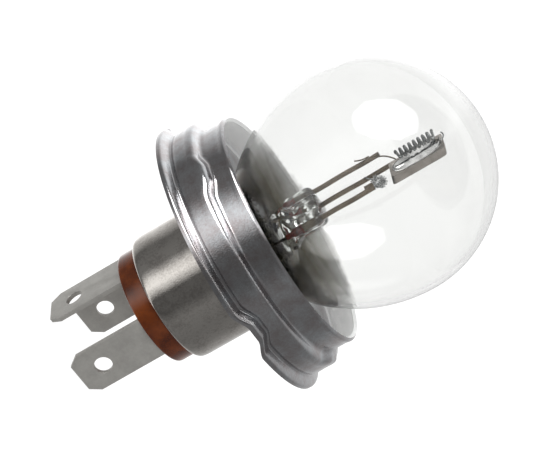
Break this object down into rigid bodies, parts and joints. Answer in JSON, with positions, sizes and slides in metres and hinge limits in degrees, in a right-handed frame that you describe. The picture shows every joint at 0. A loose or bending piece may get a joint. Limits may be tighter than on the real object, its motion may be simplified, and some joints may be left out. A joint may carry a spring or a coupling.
{
  "type": "headlight bulb",
  "caption": "Twin-filament headlight bulb with a round clear glass globe, a stepped steel collar with three lugs, a round cap shell, an amber insulator and three flat blade terminals.",
  "frame": {"origin": "on the lamp axis at the middle of the lamp's length, 0.8 mm in front of the faces of the collar's three lugs", "axes": "+Z along the lamp axis towards the globe's tip; -X towards the single blade; the parallel blades are on +Y and -Y"},
  "size_m": [0.048, 0.048, 0.0764],
  "materials": {
    "clear_glass": "clear",
    "support_wire": "satin",
    "copper_seal": "dull",
    "tungsten": "satin",
    "shield_metal": "satin outside, polished inside",
    "collar_metal": "satin plated",
    "shell_metal": "satin plated",
    "blade_metal": "matt",
    "insulator_amber": "gloss",
    "cement": "matt",
    "solder": "satin"
  },
  "bodies": {
    "root": {"glass_envelope": "clear_glass", "stem_tube": "clear_glass", "stem_press": "clear_glass", "exhaust_tube": "clear_glass", "support_wire_dipped": "support_wire", "support_wire_common": "support_wire", "support_wire_main": "support_wire", "seal_dipped": "copper_seal", "seal_common": "copper_seal", "seal_main": "copper_seal", "lead_dipped": "support_wire", "lead_common": "support_wire", "lead_main": "support_wire", "dipped_filament": "tungsten", "main_filament": "tungsten", "dipped_filament_front_tail": "tungsten", "dipped_filament_back_tail": "tungsten", "weld_tail_dipped": "tungsten", "main_filament_far_tail": "tungsten", "main_filament_near_tail": "tungsten", "main_filament_crimp": "support_wire", "glare_shield": "shield_metal", "cap_shell": "shell_metal", "base_cement": "cement", "insulator": "insulator_amber", "blade_single": "blade_metal", "blade_far": "blade_metal", "blade_near": "blade_metal", "collar_ring": "collar_metal", "collar_plate": "collar_metal", "solder_1": "solder", "solder_2": "solder", "solder_3": "solder"}
  },
  "joints": []
}
